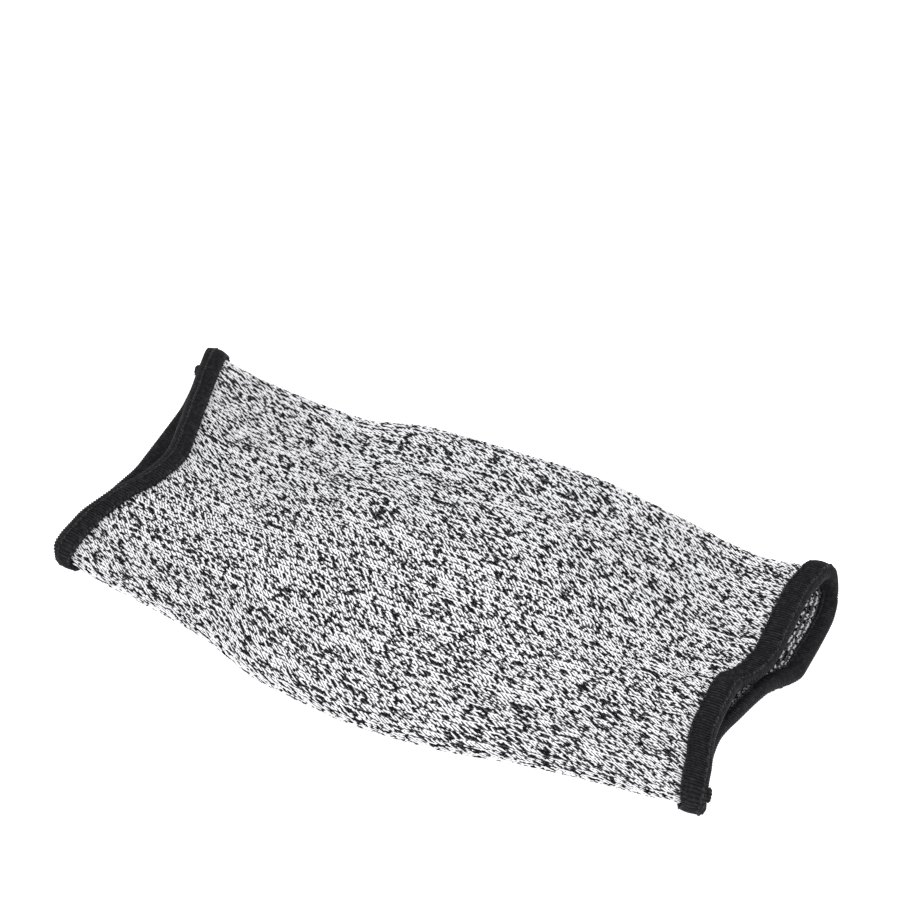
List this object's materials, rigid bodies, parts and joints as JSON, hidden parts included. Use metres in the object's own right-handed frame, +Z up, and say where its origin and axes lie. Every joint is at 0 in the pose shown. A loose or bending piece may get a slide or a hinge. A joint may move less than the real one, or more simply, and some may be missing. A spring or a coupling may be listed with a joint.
{
  "type": "cut resistant sleeve",
  "caption": "Knitted cut resistant arm sleeve of black and white marl yarn, an open tube lying flat, wider in the middle, with a black padded binding round each mouth.",
  "frame": {"origin": "under the middle of the whole sleeve, on the surface that it lies on", "axes": "+X from the wrist end to the arm end, +Y from the near side fold to the far side fold, +Z up"},
  "size_m": [0.2202, 0.1128, 0.0228],
  "materials": {
    "marl_knit": "matt knit of white and black flecked yarn",
    "black_binding": "matt ribbed binding",
    "black_thread": "matt twisted thread"
  },
  "bodies": {
    "root": {"knit_tube": "marl_knit", "wrist_band": "black_binding", "arm_band": "black_binding", "wrist_thread_knot": "black_thread", "arm_thread_knot": "black_thread"}
  },
  "joints": []
}
